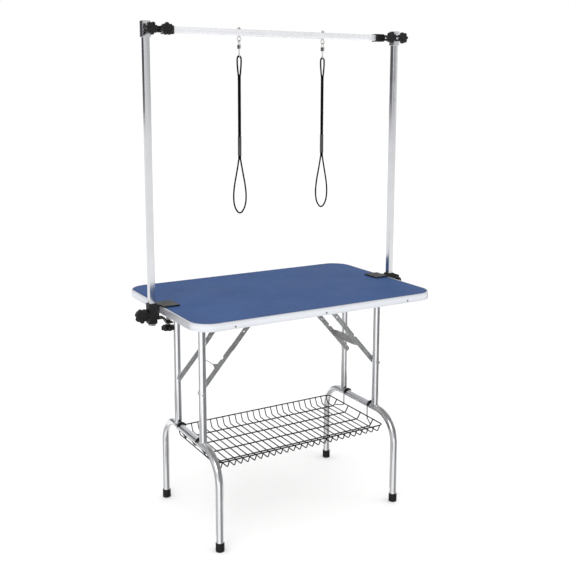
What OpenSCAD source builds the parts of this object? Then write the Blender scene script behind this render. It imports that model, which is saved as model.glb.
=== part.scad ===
// Folding grooming table with a wire basket, an overhead arm and two nooses.
// Origin: on the floor under the middle of the top. +X right, -Y front, +Z up.

/* [Tabletop] */
// Length of the top, left to right
top_l = 915; // [890:5:960]
// Depth of the top, front to back
top_w = 610; // [580:5:660]
// Height of the mat above the floor
top_h = 787; // [775:1:800]
// Corner radius of the top
corner_r = 72; // [50:1:90]
// Thickness of the plywood board
board_t = 15; // [12:1:18]
// Thickness of the mat
mat_t = 2; // [1.5:0.5:3]
// Height of the edge trim
trim_h = 25; // [23:1:28]
// Width of the trim's lip around the mat
lip_w = 5; // [4:0.5:8]

/* [Legs] */
// Outer diameter of the leg tubes
tube_d = 25.4; // [24:0.2:25.4]
// Wall of the leg tubes
tube_wall = 1.2; // [1:0.1:1.5]
// Half the distance between the two uprights of one leg frame
upright_y = 102.5; // [102:0.5:104]
// Half the distance between the two feet of one leg frame
foot_y = 222.5; // [220:0.5:226]
// Height of the middle of the foot arch's top bar
bar_z = 318.5; // [312:0.5:325]
// Bend radius of the foot arch, to the middle of the tube
bend_r = 100; // [90:1:104]
// Height of the rubber feet
foot_h = 30; // [25:1:36]

/* [Braces] */
// Distance from the leg hinge to the brace's anchor under the top
anchor_run = 215; // [205:1:225]
// Distance from the leg hinge down to the brace's bolt on the leg
bolt_drop = 245; // [235:1:255]
// Width of the brace links
link_w = 18; // [16:1:20]
// Width of the strap that joins the two braces
strap_w = 27; // [22:1:30]

/* [Basket] */
// Half the width of the basket's rim, front to back
rim_y = 180; // [170:1:180]
// Height of the rim above the floor
rim_z = 281; // [275:1:282]
// Height of the basket's wall
basket_h = 27; // [24:1:32]
// Distance between neighbouring cross wires
wire_pitch = 25.4; // [24:0.2:30]

/* [Overhead arm] */
// Side of the square posts and of the crossbar
post_s = 20; // [18:0.5:20]
// Height of the posts' tops above the floor
arm_h = 1690; // [1600:5:1750]
// Height of the crossbar's middle below the posts' tops
bar_drop = 25; // [22:1:30]
// Outer side of the sleeves on the posts
sleeve_s = 26; // [25:0.5:27]
// Diameter of the star knobs at the top
arm_knob_d = 40; // [34:1:44]
// Diameter of the star knobs on the clamps
clamp_knob_d = 48; // [42:1:50]

/* [Nooses] */
// Diameter of the rope
rope_d = 5.5; // [4:0.5:5.5]
// Place of the left noose along the crossbar
left_noose_x = -155; // [-200:5:-120]
// Place of the right noose along the crossbar
right_noose_x = 170; // [120:5:200]

/* [Hidden] */
$fn = 48;
eps = 0.5;
tube_r = tube_d / 2;
top_z = top_h - mat_t;
under_z = top_z - board_t;
web_t = 1.6;
trim_top = top_h + 0.5;
trim_bottom = trim_top - trim_h;
leg_x = top_l / 2 - 107.5;
post_x = top_l / 2 + 22.5;
edge_run = post_x - top_l / 2;
hinge_z = top_h - 47;
hinge_r = 11;
hinge_half = 152;
saddle_y = 137;
saddle_w = 26;
run_gap = 0.05;
cap_floor = 3;
cap_r = tube_r + 1.8;
bend_z = bar_z - bend_r;
bend_y = foot_y - bend_r;
screw_r = 2;
rivet_z = trim_bottom + 8;
rivet_shank = 8;
// braces: the lower link lies inside, the upper link outside, 0.3 mm apart
link_t = 2.5;
lower_y = upright_y - 20.5;
upper_y = lower_y + link_t + 0.3;
plate_t = 2;
brace_span = sqrt(anchor_run * anchor_run + bolt_drop * bolt_drop);
lower_len = (brace_span + bolt_drop - anchor_run) / 2;
upper_len = brace_span - lower_len;
brace_angle = atan2(bolt_drop, anchor_run);
bolt_z = hinge_z - bolt_drop;
pin_r = 4;
strap_t = 1.5;
strap_at = 100;
strap_half = 66;
// basket wires
rim_x = leg_x - 20;
rim_r = 2.2;
rim_bend = 14;
long_r = 2.2;
cross_r = 1.9;
floor_z = rim_z - basket_h;
long_z = floor_z + cross_r + long_r;
long_ys = [-120, -40, 40, 120];
wire_count = 2 * floor((rim_x - 12) / wire_pitch + 0.5);
hook_y = 77;
hook_r = 1.75;
sleeve_r = 3.2;
hook_x = rim_x + rim_r + hook_r;
hook_bend = leg_x - hook_x;
hook_foot_y = long_ys[3] - long_r - hook_r - 0.1;
// clamps, measured from the post's axis with +X towards the table
socket_s = 28;
slide_gap = 0.2;
bore_s = post_s + 2 * slide_gap;
socket_z = [top_h - 58, top_h + 9];
jaw_t = 4.5;
jaw_y = [-46, 26];
jaw_end = edge_run + 57.5;
screw_x = edge_run + 32.5;
clamp_screw_r = 5;
arm_z = top_h - 45;
arm_low = top_h - 63;
ear_x = -41;
ear_z = top_h - 25;
stud_r = 4;
// overhead arm
post_wall = 1.5;
post_bottom = top_h - 65;
bar_mid = arm_h - bar_drop;
sleeve_h = 50;
bar_start = 32;
knob_face = 57;
knob2_x = 51;
plate_half = 10;
plate_end = 60;
bar_socket = [56, 91];
eye_r = 6.8;
eye_wire = 1.7;
eye_z = bar_mid - post_s / 2 - 11;
// snap hook and rope, measured from the middle of the eye bolt's ring
hook_top = -3.45;
snap_bend = 5.5;
snap_r = 1.5;
block_z = [-31, -18];
latch_top = -11.2;
ring_z = -53.8;
ring_r = 4.9;
ring_wire = 1.3;
rope_top = ring_z - 0.75;
slider_z = [eye_z - 381, eye_z - 319];
slider_r = 6.5;
slider_wall = 0.8;
// rope route from the snap's ring down one side: [x, z below the top of the rope]
small_loop = [[1, 0], [3.6, -0.9], [6.2, -4.6], [7.2, -12], [7, -26], [5.4, -45], [3.8, -60], [2.8, -75]];
strands = [[2.8, -210], [2.8, -326]];
big_loop = [[4.5, -345], [9, -370], [14, -395], [19, -420], [22.5, -445], [23.5, -463], [22.5, -482],
            [18.5, -499], [12, -511], [4.5, -518.5]];

// ---- helpers ----
module rounded(l, w, r) {
    square([l - 2 * r, w], center = true);
    square([l, w - 2 * r], center = true);
    for (x = [-1, 1], y = [-1, 1]) translate([x * (l / 2 - r), y * (w / 2 - r)]) circle(r, $fn = 96);
}
module slab(inset, z0, z1)
    translate([0, 0, z0]) linear_extrude(z1 - z0)
        rounded(top_l - 2 * inset, top_w - 2 * inset, corner_r - inset);
module rod_y(r, y0, y1) translate([0, y0, 0]) rotate([-90, 0, 0]) cylinder(r = r, h = y1 - y0);
module rod_x(r, x0, x1) translate([x0, 0, 0]) rotate([0, 90, 0]) cylinder(r = r, h = x1 - x0);
module rod_z(r, z0, z1) translate([0, 0, z0]) cylinder(r = r, h = z1 - z0);
module box(a, b) translate(a) cube(b - a);
module both_y() { children(); mirror([0, 1, 0]) children(); }
module both_x() { children(); mirror([1, 0, 0]) children(); }
module left_end() translate([-leg_x, 0, 0]) children();
module right_end() mirror([1, 0, 0]) left_end() children();
module left_arm() translate([-post_x, 0, bar_mid]) children();
module right_arm() mirror([1, 0, 0]) left_arm() children();
module left_clamp() translate([-post_x, 0, 0]) children();
module right_clamp() rotate([0, 0, 180]) left_clamp() children();
// straight wire between two points
module wire(a, b, r) {
    d = b - a;
    len = norm(d);
    translate(a) rotate([0, acos(d[2] / len), atan2(d[1], d[0])]) cylinder(r = r, h = len, $fn = 24);
}
// round joint between two wires, a touch fatter than they are
module ball(p, r) translate(p) sphere(r + 0.06, $fn = 24);
module star(d, h, hub_h) {
    lobe = d * 0.15;
    linear_extrude(h) {
        circle(d * 0.37);
        for (i = [0:6]) rotate(i * 360 / 7) translate([d / 2 - lobe, 0]) circle(lobe, $fn = 32);
    }
    translate([0, 0, -hub_h]) cylinder(r = d * 0.2, h = hub_h + eps);
}

// ---- tabletop ----
module screw_places() {
    both_x() both_y() {
        for (s = [-1, 1]) translate([leg_x + s * 26, saddle_y]) children();
        for (s = [-1, 1]) translate([leg_x - anchor_run + s * 15, upper_y + 17]) children();
    }
}
module rivet_places() {
    for (s = [-1, 0, 1], e = [0, 180]) rotate(e) translate([s * 330, -top_w / 2, rivet_z]) children();
    for (s = [-1, 1], e = [0, 180])
        rotate(e) translate([-top_l / 2, s * 48, rivet_z]) rotate(-90) children();
}
module table_board() color("burlywood") difference() {
    slab(web_t, under_z, top_z);
    screw_places() rod_z(screw_r, under_z - eps, under_z + 12);
    rivet_places() rod_y(1.5, -eps, rivet_shank);
}
module table_mat() color("steelblue") slab(lip_w, top_z, top_h);
module edge_trim() color("lightgray") difference() {
    union() {
        difference() {
            slab(0, trim_bottom, trim_top);
            slab(web_t, trim_bottom - eps, top_z);
            slab(lip_w, top_z - eps, trim_top + eps);
        }
        difference() {
            slab(eps, under_z - 1.5, under_z);
            slab(9, under_z - 2, under_z + eps);
        }
    }
    rivet_places() rod_y(1.5, -eps, rivet_shank);
}
module trim_rivets() color("gray") rivet_places() {
    rod_y(1.5, -eps, rivet_shank - 1);
    rotate([90, 0, 0]) cylinder(r1 = 3.5, r2 = 2.2, h = 1.2);
}
module hinge_saddles() color("silver") both_x() both_y() translate([leg_x, saddle_y, 0]) difference() {
    union() {
        translate([0, 0, hinge_z]) rod_y(14.5, -saddle_w / 2, saddle_w / 2);
        box([-14.5, -saddle_w / 2, hinge_z], [14.5, saddle_w / 2, under_z]);
        box([-36, -saddle_w / 2, under_z - 3], [36, saddle_w / 2, under_z]);
    }
    translate([0, 0, hinge_z]) rod_y(hinge_r + run_gap, -saddle_w, saddle_w);
    for (s = [-1, 1]) translate([s * 26, 0]) rod_z(screw_r, under_z - 5, under_z + eps);
}
module bracket_screws() color("dimgray") {
    both_x() both_y() {
        for (s = [-1, 1]) translate([leg_x + s * 26, saddle_y]) pan_screw(3);
        for (s = [-1, 1]) translate([leg_x - anchor_run + s * 15, upper_y + 17]) pan_screw(plate_t);
    }
}
module pan_screw(under) {
    rod_z(screw_r, under_z - under, under_z + 12);
    rod_z(4.5, under_z - under - 2.5, under_z - under);
}
module brace_anchors() color("silver") both_x() both_y() translate([leg_x - anchor_run, 0, 0]) {
    y0 = upper_y + link_t;
    difference() {
        union() {
            box([-10, y0, hinge_z], [10, y0 + plate_t, under_z]);
            translate([0, 0, hinge_z]) rod_y(10, y0, y0 + plate_t);
            box([-24, y0, under_z - plate_t], [24, y0 + 22, under_z]);
            translate([0, 0, hinge_z]) rod_y(pin_r, upper_y, y0 + eps);
        }
        for (s = [-1, 1]) translate([s * 15, upper_y + 17]) rod_z(screw_r, under_z - 5, under_z + eps);
    }
}

// ---- clamps ----
module clamp_body() color([0.1, 0.1, 0.1]) difference() {
    half = socket_s / 2;
    union() {
        box([-half, -half, socket_z[0]], [half, half, socket_z[1]]);
        // pinch ears on the outer side, with a nut behind
        for (s = [0, 1]) mirror([0, s, 0]) {
            box([ear_x, 1, ear_z - 14], [-half + eps, 6, ear_z + 14]);
            translate([ear_x, 0, ear_z]) rod_y(14, 1, 6);
        }
        translate([ear_x, 0, ear_z]) rotate([-90, 0, 0]) cylinder(r = 8, h = 11, $fn = 6);
        // back of the C and the upper jaw
        box([half - eps, -half, arm_z], [edge_run - 1.5, half, trim_top + jaw_t]);
        box([half - eps, -half, trim_top], [edge_run + 1, half, trim_top + jaw_t]);
        box([edge_run, jaw_y[0], trim_top], [jaw_end, jaw_y[1], trim_top + jaw_t]);
        // lower jaw, stepped down to the screw
        translate([0, 15, 0]) rotate([90, 0, 0]) linear_extrude(30)
            polygon([[half - eps, arm_z], [38, arm_z], [49, arm_low], [68, arm_low],
                     [68, arm_low + jaw_t], [51, arm_low + jaw_t], [40, arm_z + jaw_t],
                     [half - eps, arm_z + jaw_t]]);
        translate([screw_x, 0]) rod_z(9, arm_low, arm_low + 10);
    }
    box([-bore_s / 2, -bore_s / 2, socket_z[0] - 1], [bore_s / 2, bore_s / 2, socket_z[1] + 1]);
    box([ear_x - 20, -1, socket_z[0] - 1], [0, 1, socket_z[1] + 1]);
    translate([ear_x, 0, ear_z]) rod_y(stud_r + run_gap, -20, 20);
    translate([screw_x, 0]) rod_z(clamp_screw_r + run_gap, arm_low - 5, arm_low + 15);
}
module left_clamp_body() left_clamp() clamp_body();
module right_clamp_body() right_clamp() clamp_body();
module clamp_pad() color("dimgray") translate([screw_x, 0]) rod_z(13, under_z - 4.8, under_z);
module clamp_screw() color("silver") translate([screw_x, 0])
    rod_z(clamp_screw_r, arm_low - 21, under_z - 4.8);
module clamp_knob() color([0.1, 0.1, 0.1]) translate([screw_x, 0, arm_low - 25]) difference() {
    union() {
        star(44, 14, 0);
        rod_z(9, 0, 19);
    }
    rod_z(clamp_screw_r, 4, 20);
}
module left_clamp_pad() left_clamp() clamp_pad();
module left_clamp_screw() left_clamp() clamp_screw();
module left_clamp_knob() left_clamp() clamp_knob();
module right_clamp_pad() right_clamp() clamp_pad();
module right_clamp_screw() right_clamp() clamp_screw();
module right_clamp_knob() right_clamp() clamp_knob();
// star knob with its threaded stud, pointing forwards; back is where the hub starts
module front_knob(d, thick, hub, back, tip) color([0.1, 0.1, 0.1]) {
    translate([0, -back - hub, 0]) rotate([90, 0, 0]) star(d, thick, hub);
    rod_y(stud_r, -back - hub - eps, -tip);
}
module post_knob() translate([ear_x, 0, ear_z]) front_knob(clamp_knob_d, 14, 6, 6.2, -14);
module left_post_knob() left_clamp() post_knob();
module right_post_knob() right_clamp() post_knob();

// ---- overhead arm ----
module square_tube_z(s, bore, z0, z1) difference() {
    box([-s / 2, -s / 2, z0], [s / 2, s / 2, z1]);
    box([-bore / 2, -bore / 2, z0 - 1], [bore / 2, bore / 2, z1 + 1]);
}
module square_tube_x(s, bore, x0, x1) difference() {
    box([x0, -s / 2, -s / 2], [x1, s / 2, s / 2]);
    box([x0 - 1, -bore / 2, -bore / 2], [x1 + 1, bore / 2, bore / 2]);
}
module post() color("silver") square_tube_z(post_s, post_s - 2 * post_wall, post_bottom, arm_h - 2);
module post_cap() color("silver") {
    plug = post_s / 2 - post_wall;
    box([-post_s / 2, -post_s / 2, arm_h - 2], [post_s / 2, post_s / 2, arm_h]);
    box([-plug, -plug, arm_h - 12], [plug, plug, arm_h - 2 + eps]);
}
module left_post() left_clamp() post();
module right_post() right_clamp() post();
module left_post_cap() left_clamp() post_cap();
module right_post_cap() right_clamp() post_cap();
module post_sleeves() color("silver") { left_arm() sleeve(); right_arm() sleeve(); }
module sleeve() difference() {
    square_tube_z(sleeve_s, bore_s, -sleeve_h / 2, sleeve_h / 2);
    rod_y(stud_r + run_gap, -20, 0);
}
module bar_brackets() color([0.1, 0.1, 0.1]) { left_arm() bracket(); right_arm() bracket(); }
module bracket() difference() {
    front = sleeve_s / 2;
    union() {
        box([-9, -front - 4, -plate_half], [plate_end, -front, plate_half]);
        box([bar_socket[0], -14, -13], [bar_socket[1], 14, 13]);
    }
    box([bar_socket[0] - 1, -bore_s / 2, -bore_s / 2], [bar_socket[1] + 1, bore_s / 2, bore_s / 2]);
    for (x = [0, knob2_x]) translate([x, 0]) rod_y(stud_r + run_gap, -20, 0);
}
module crossbar() color("silver") translate([0, 0, bar_mid]) difference() {
    half = post_x - bar_start;
    square_tube_x(post_s, post_s - 2 * post_wall, -half, half);
    for (x = [left_noose_x, right_noose_x]) translate([x, 0]) rod_z(3, -20, 20);
}
module eye_bolts() color("silver") for (x = [left_noose_x, right_noose_x]) translate([x, 0, 0]) {
    translate([0, 0, eye_z]) rotate([90, 0, 0]) rotate_extrude() translate([eye_r, 0]) circle(eye_wire);
    rod_z(3, eye_z + eye_r, bar_mid + post_s / 2 + 8);
    rod_z(4.5, bar_mid - post_s / 2 - 2, bar_mid - post_s / 2);
    translate([0, 0, bar_mid + post_s / 2]) cylinder(r = 6, h = 4.5, $fn = 6);
}
module arm_knob(x) translate([x, 0, 0])
    front_knob(arm_knob_d, 13, 6, knob_face - 19, post_s / 2 + 0.3);
module left_sleeve_knob() left_arm() arm_knob(0);
module left_bar_knob() left_arm() arm_knob(knob2_x);
module right_sleeve_knob() right_arm() arm_knob(0);
module right_bar_knob() right_arm() arm_knob(knob2_x);

// ---- nooses ----
module left_noose() translate([left_noose_x, 0, eye_z]) children();
module right_noose() translate([right_noose_x, 0, eye_z]) children();
module snap() color("silver") {
    bend_z0 = hook_top - snap_bend;
    difference() {
        union() {
            // hook over the ring, open at the back
            translate([0, 0, bend_z0]) rotate([0, 0, -90]) rotate([90, 0, 0])
                rotate_extrude(angle = 180) translate([snap_bend, 0]) circle(snap_r);
            for (s = [-1, 1]) ball([0, s * snap_bend, bend_z0], snap_r);
            translate([0, snap_bend]) rod_z(snap_r, bend_z0 - 2, bend_z0);
            translate([0, -snap_bend]) rod_z(snap_r, block_z[1] - 1, bend_z0);
            box([-2.5, -7.5, block_z[0]], [2.5, 8, block_z[1]]);
            rod_z(1.9, ring_z + ring_r, block_z[0] + 1);
            translate([0, 0, ring_z]) rotate([0, 90, 0])
                rotate_extrude() translate([ring_r, 0]) circle(ring_wire);
        }
        // bore and thumb slot for the latch
        translate([0, snap_bend]) rod_z(1.3 + run_gap, block_z[0] + 1, block_z[1] + 1);
        box([-1, snap_bend, block_z[0] + 2], [1, 9, block_z[1] + 1]);
    }
}
module latch() color("gray") {
    translate([0, snap_bend]) rod_z(1.3, latch_top - 13, latch_top);
    translate([0, snap_bend, latch_top - 9]) rod_y(0.9, 0, 6);
}
module left_snap() left_noose() snap();
module right_snap() right_noose() snap();
module left_latch() left_noose() latch();
module right_latch() right_noose() latch();

function reversed(v) = [for (i = [len(v) - 1:-1:0]) v[i]];
// one side of the loop, from the ring down to the lowest point
half_route = concat(small_loop, strands, big_loop);
// the whole rope: down the left side, round the bottom and up the right side
function rope_route() = concat(
    [for (p = half_route) [-p[0], 0, rope_top + p[1]]],
    [for (p = reversed(half_route)) [p[0], 0, rope_top + p[1]]]);
// ring of points across the route at step i; the route stays in one plane
function rope_ring(route, i, r, n) =
    let (a = route[max(i - 1, 0)], b = route[min(i + 1, len(route) - 1)],
         t = (b - a) / norm(b - a), side = [t[2], 0, -t[0]])
    [for (k = [0:n - 1]) route[i] + r * (cos(360 * k / n) * side + sin(360 * k / n) * [0, 1, 0])];
module rope() color([0.12, 0.12, 0.12]) {
    route = rope_route();
    n = 8;
    rings = len(route);
    points = [for (i = [0:rings - 1]) each rope_ring(route, i, rope_d / 2, n)];
    sides = [for (i = [0:rings - 2], k = [0:n - 1])
        [i * n + k, (i + 1) * n + k, (i + 1) * n + (k + 1) % n, i * n + (k + 1) % n]];
    caps = [[for (k = [0:n - 1]) k], [for (k = [n - 1:-1:0]) (rings - 1) * n + k]];
    polyhedron(points = points, faces = concat(sides, caps));
}
module left_rope() left_noose() rope();
module right_rope() right_noose() rope();
module slider() color("gray") difference() {
    rod_z(slider_r, slider_z[0] - eye_z, slider_z[1] - eye_z);
    rod_z(slider_r - slider_wall, slider_z[0] - eye_z - 1, slider_z[1] - eye_z + 1);
}
module left_slider() left_noose() slider();
module right_slider() right_noose() slider();

// ---- leg frames ----
module hinge_tube() color("silver") translate([0, 0, hinge_z]) difference() {
    rod_y(hinge_r, -hinge_half, hinge_half);
    rod_y(hinge_r - tube_wall, -hinge_half - 1, hinge_half + 1);
}
module uprights() color("silver") both_y() translate([0, upright_y, 0]) difference() {
    rod_z(tube_r, bar_z, hinge_z);
    rod_z(tube_r - tube_wall, bar_z - 1, hinge_z + 1);
    translate([0, 0, hinge_z]) rod_y(hinge_r, -30, 30);
    translate([0, 0, bar_z]) rod_y(tube_r, -30, 30);
    translate([0, 0, bolt_z]) rod_y(pin_r, -30, 30);
}
// rod along the middle of the foot arch; extra lengthens its lower ends
module arch_rod(r, extra) {
    both_y() {
        translate([0, foot_y]) rod_z(r, cap_floor - extra, bend_z);
        translate([0, bend_y, bend_z]) rotate([90, 0, 90])
            rotate_extrude(angle = 90, $fn = 96) translate([bend_r, 0]) circle(r, $fn = 48);
    }
    translate([0, 0, bar_z]) rod_y(r, -bend_y, bend_y);
}
module foot_arch() color("silver") difference() {
    arch_rod(tube_r, 0);
    arch_rod(tube_r - tube_wall, 1);
}
module feet() color([0.1, 0.1, 0.1]) both_y() translate([0, foot_y]) difference() {
    rod_z(cap_r, 0, foot_h);
    rod_z(tube_r, cap_floor, foot_h + 1);
}
// bolt through the upright that the lower link turns on, with spacer and heads
module pivot_bolts() color("dimgray") both_y() translate([0, 0, bolt_z]) {
    rod_y(pin_r, lower_y - eps, upright_y + tube_r + 1);
    rod_y(6.5, lower_y - 2.5, lower_y);
    difference() {
        union() {
            rod_y(7, lower_y + link_t, upright_y - 5);
            rod_y(6.5, upright_y + 5, upright_y + tube_r + 4);
        }
        translate([0, upright_y]) rod_z(tube_r, -20, 20);
    }
}
module left_hinge_tube() left_end() hinge_tube();
module left_uprights() left_end() uprights();
module left_foot_arch() left_end() foot_arch();
module left_feet() left_end() feet();
module left_pivot_bolts() left_end() pivot_bolts();
module right_hinge_tube() right_end() hinge_tube();
module right_uprights() right_end() uprights();
module right_foot_arch() right_end() foot_arch();
module right_feet() right_end() feet();
module right_pivot_bolts() right_end() pivot_bolts();

// ---- braces ----
// frame with +X along the brace from the leg bolt and +Z towards the leg hinge
module on_brace() translate([0, 0, bolt_z]) rotate([0, -brace_angle, 0]) children();
module link_plate(len, y0) {
    box([0, y0, -link_w / 2], [len, y0 + link_t, link_w / 2]);
    rod_y(link_w / 2, y0, y0 + link_t);
    translate([len, 0, 0]) rod_y(link_w / 2, y0, y0 + link_t);
}
module lower_links() color("gray") both_y() on_brace() difference() {
    link_plate(lower_len, lower_y);
    rod_y(pin_r + run_gap, lower_y - 1, lower_y + link_t + 1);
    translate([lower_len, 0, 0]) rod_y(pin_r, lower_y - 1, lower_y + link_t + 1);
    // catch notch on the side that faces the hinge
    box([128, lower_y - 1, link_w / 2 - 5], [138, lower_y + link_t + 1, link_w]);
}
module upper_links() color("gray") both_y() on_brace() translate([brace_span, 0, 0]) difference() {
    union() {
        mirror([1, 0, 0]) link_plate(upper_len, upper_y);
        translate([-upper_len, 0, 0]) rod_y(5, upper_y + link_t - eps, upper_y + link_t + 1.5);
    }
    rod_y(pin_r + run_gap, upper_y - 1, upper_y + link_t + 1);
    translate([-79, 0, 0]) rod_y(3, upper_y - 1, upper_y + link_t + 1);
}
module strap() color("gray") {
    on_brace() translate([strap_at, 0, 0])
        box([-strap_t / 2, -strap_half, -strap_w / 2], [strap_t / 2, strap_half, strap_w / 2]);
    both_y() on_brace() translate([strap_at, 0, 0]) {
        hull() {
            box([-strap_t / 2, strap_half - 1, -strap_w / 2], [strap_t / 2, strap_half, strap_w / 2]);
            box([-9, lower_y - strap_t - 1, -7], [9, lower_y - strap_t, 7]);
        }
        difference() {
            box([-18, lower_y - strap_t, -7], [18, lower_y, 7]);
            for (x = [-13, 13]) translate([x, 0, 0]) rod_y(1.5, lower_y - 5, lower_y + 1);
        }
    }
}
module knee_rivets() color("dimgray") both_y() on_brace() translate([lower_len, 0, 0]) {
    rod_y(pin_r, lower_y - eps, lower_y + link_t);
    rod_y(6, lower_y - 2, lower_y);
}
module left_upper_links() left_end() upper_links();
module left_lower_links() left_end() lower_links();
module left_strap() left_end() strap();
module left_knee_rivets() left_end() knee_rivets();
module right_upper_links() right_end() upper_links();
module right_lower_links() right_end() lower_links();
module right_strap() right_end() strap();
module right_knee_rivets() right_end() knee_rivets();

// ---- basket ----
module basket_rim() color([0.12, 0.12, 0.12]) translate([0, 0, rim_z]) {
    for (s = [-1, 1]) {
        translate([0, s * rim_y, 0]) rod_x(rim_r, -rim_x + rim_bend, rim_x - rim_bend);
        translate([s * rim_x, 0, 0]) rod_y(rim_r, -rim_y + rim_bend, rim_y - rim_bend);
    }
    both_x() both_y() translate([rim_x - rim_bend, rim_y - rim_bend, 0])
        rotate_extrude(angle = 90) translate([rim_bend, 0]) circle(rim_r);
}
module basket_long_wires() color([0.12, 0.12, 0.12]) for (y = long_ys) {
    half = rim_x - 14;
    translate([0, y, long_z]) rod_x(long_r, -half, half);
    both_x() {
        ball([half, y, long_z], long_r);
        wire([half, y, long_z], [rim_x - 2.5, y, rim_z - rim_r - 0.6], long_r);
    }
}
module basket_cross_wires() color([0.12, 0.12, 0.12]) for (i = [0:wire_count - 1]) {
    x = (i - (wire_count - 1) / 2) * wire_pitch;
    half = rim_y - 14;
    translate([x, 0, floor_z]) rod_y(cross_r, -half, half);
    both_y() {
        ball([x, half, floor_z], cross_r);
        wire([x, half, floor_z], [x, rim_y - 1.5, rim_z - rim_r - 0.5], cross_r);
    }
}
module hook_places() both_x() both_y() translate([leg_x, hook_y, bar_z]) children();
module hook_arc(r_in, r_out, from, turn) rotate([90, 0, 0]) rotate([0, 0, from])
    rotate_extrude(angle = turn, $fn = 96) translate([hook_bend, 0]) difference() {
        circle(r_out, $fn = 24);
        if (r_in > 0) circle(r_in, $fn = 24);
    }
module basket_hooks() color([0.12, 0.12, 0.12]) hook_places() {
    drop = rim_z - 9 - bar_z;
    foot = [rim_x - leg_x - 9, hook_foot_y - hook_y, long_z + 5 - bar_z];
    hook_arc(0, hook_r, 10, 170);
    ball([-hook_bend, 0, 0], hook_r);
    wire([-hook_bend, 0, drop], [-hook_bend, 0, 0], hook_r);
    ball([-hook_bend, 0, drop], hook_r);
    wire([-hook_bend, 0, drop], foot, hook_r);
}
module hook_sleeves() color([0.1, 0.1, 0.1]) hook_places() hook_arc(hook_r, sleeve_r, 20, 150);

table_board();
table_mat();
edge_trim();
trim_rivets();
hinge_saddles();
bracket_screws();
brace_anchors();
left_clamp_body();
right_clamp_body();
left_clamp_pad();
left_clamp_screw();
left_clamp_knob();
right_clamp_pad();
right_clamp_screw();
right_clamp_knob();
left_post_knob();
right_post_knob();
left_post();
left_post_cap();
right_post();
right_post_cap();
post_sleeves();
bar_brackets();
crossbar();
eye_bolts();
left_sleeve_knob();
left_bar_knob();
right_sleeve_knob();
right_bar_knob();
left_snap();
left_latch();
left_rope();
left_slider();
right_snap();
right_latch();
right_rope();
right_slider();
left_hinge_tube();
left_uprights();
left_foot_arch();
left_feet();
left_pivot_bolts();
right_hinge_tube();
right_uprights();
right_foot_arch();
right_feet();
right_pivot_bolts();
left_upper_links();
left_lower_links();
left_strap();
left_knee_rivets();
right_upper_links();
right_lower_links();
right_strap();
right_knee_rivets();
basket_rim();
basket_long_wires();
basket_cross_wires();
basket_hooks();
hook_sleeves();
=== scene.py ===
"""Folding grooming table with an overhead arm, two nooses and a wire basket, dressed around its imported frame.

Laid out as an add-on: settings in PropertyGroups, one operator for each group of like pieces, one panel.
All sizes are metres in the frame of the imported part: +X right, -Y front, +Z up, origin on the floor.
"""

import math
from itertools import product

import bmesh
import bpy
from bpy.props import FloatProperty, FloatVectorProperty, IntProperty, PointerProperty
from mathutils import Matrix, Vector


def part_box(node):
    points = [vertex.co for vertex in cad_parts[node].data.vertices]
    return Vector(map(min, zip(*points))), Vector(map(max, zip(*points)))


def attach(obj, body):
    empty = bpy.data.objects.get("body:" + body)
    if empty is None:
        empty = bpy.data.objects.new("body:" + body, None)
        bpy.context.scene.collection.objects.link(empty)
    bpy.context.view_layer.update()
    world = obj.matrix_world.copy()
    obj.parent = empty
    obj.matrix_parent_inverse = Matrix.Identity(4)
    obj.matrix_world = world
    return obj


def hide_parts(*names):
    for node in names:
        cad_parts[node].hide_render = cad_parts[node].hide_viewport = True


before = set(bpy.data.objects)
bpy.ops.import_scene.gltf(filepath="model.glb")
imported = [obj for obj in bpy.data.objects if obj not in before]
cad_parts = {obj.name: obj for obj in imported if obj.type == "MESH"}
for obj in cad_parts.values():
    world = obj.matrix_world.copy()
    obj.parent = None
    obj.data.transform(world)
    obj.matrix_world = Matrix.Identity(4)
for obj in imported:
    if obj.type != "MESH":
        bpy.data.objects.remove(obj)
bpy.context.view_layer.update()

bl_info = {
    "name": "Grooming Table",
    "version": (1, 0, 0),
    "blender": (4, 5, 0),
    "location": "3D View > Sidebar > Grooming Table",
    "description": "Builds the pieces and finishes of a folding grooming table around its packed frame",
    "category": "Object",
}

SIDES = ("left", "right")
MM = 0.001


# ---- places taken from the frame ----
def low(node):
    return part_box(node)[0]


def high(node):
    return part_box(node)[1]


def middle(node):
    return (low(node) + high(node)) / 2


def half_x(node):
    return (high(node).x - low(node).x) / 2


TUBE_R = half_x("left_foot_arch")
LEG_X = middle("right_hinge_tube").x
BAR_Z = high("left_foot_arch").z - TUBE_R
FOOT_Y = high("left_foot_arch").y - TUBE_R
HINGE_R = half_x("left_hinge_tube")
HINGE_Z = middle("left_hinge_tube").z
UPRIGHT_Y = high("left_uprights").y - TUBE_R
BOARD_TOP, BOARD_UNDER = high("table_board").z, low("table_board").z
RIM_R = (high("basket_rim").z - low("basket_rim").z) / 2
RIM_X, RIM_Y, RIM_Z = high("basket_rim").x - RIM_R, high("basket_rim").y - RIM_R, middle("basket_rim").z
ROPE_TOP = low("left_snap").z + 5.45 * MM  # where the rope lies in the snap's ring

# ---- sizes of the made pieces ----
AXIS_R = 0.0001  # radius of a turned shape's first and last ring, in place of a point
RIVET_X, RIVET_Y = 0.330, 0.048  # places of the trim's rivets on the long and the short sides
SADDLE_SCREWS = {"apart": 26 * MM, "from_end": 13 * MM, "plate": 3 * MM}
ANCHOR_SCREWS = {"apart": 15 * MM, "from_end": 7.3 * MM, "plate": 2 * MM, "back": 24 * MM}
SCREW_TURN = 20  # degrees by which the screws' recesses stand off the table's sides
LONG_WIRE_YS = (-0.120, -0.040, 0.040, 0.120)
WALL_RUN, WIRE_OVERLAP, WIRE_DROP = 14 * MM, 1.2 * MM, 1 * MM  # basket wall's slope; wire ends in the rim
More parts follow.
